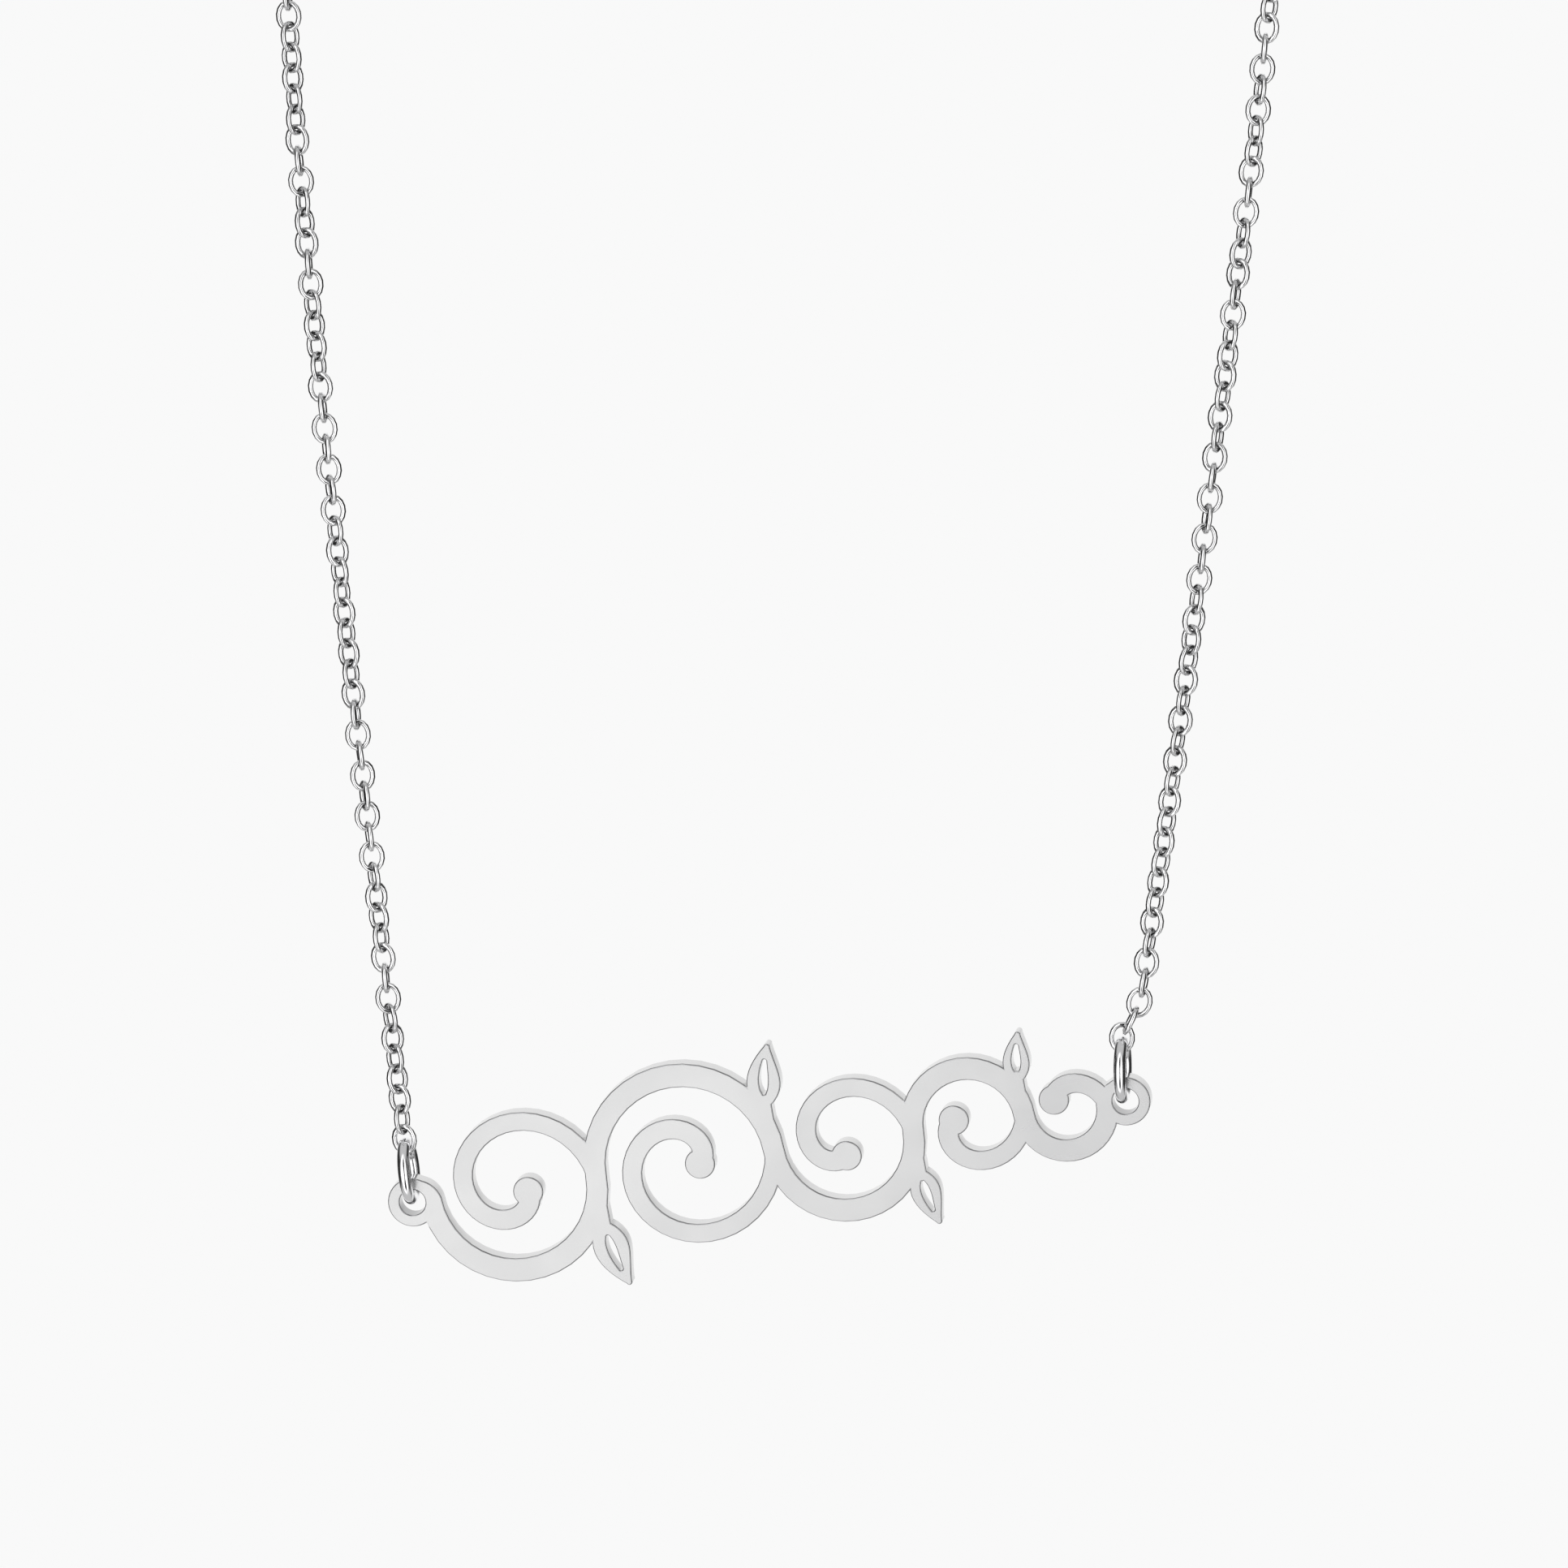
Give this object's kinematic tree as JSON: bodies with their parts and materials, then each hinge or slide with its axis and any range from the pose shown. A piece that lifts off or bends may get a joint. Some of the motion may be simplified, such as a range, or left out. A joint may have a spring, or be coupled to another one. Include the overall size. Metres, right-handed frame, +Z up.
{
  "type": "nameplate necklace",
  "caption": "Worn necklace loop: a pierced leaf-scroll sheet plate swings in two jump rings on a fine cable chain closed by a clasp at the nape.",
  "frame": {"origin": "middle of the neck at the height at which the chain lies on the nape", "axes": "+Z up, +Y from the plate towards the nape, +X towards the viewer's right as one looks at the plate"},
  "size_m": [0.0916, 0.1063, 0.1238],
  "materials": {
    "plate_silver": "satin-polished pale silver",
    "ring_silver": "polished silver wire",
    "chain_silver": "bright polished silver wire"
  },
  "bodies": {
    "necklace": {"chain_left": "chain_silver", "chain_right": "chain_silver", "jump_ring_left": "ring_silver", "jump_ring_right": "ring_silver", "clasp": "ring_silver"},
    "plate": {"nameplate": "plate_silver"}
  },
  "joints": [
    {"name": "plate_swing", "type": "hinge", "parent": "necklace", "child": "plate", "pos_m": [0.00008, -0.056, -0.11239], "axis": [0.9843, 0, 0.1767], "range_deg": [-90, 90]}
  ]
}
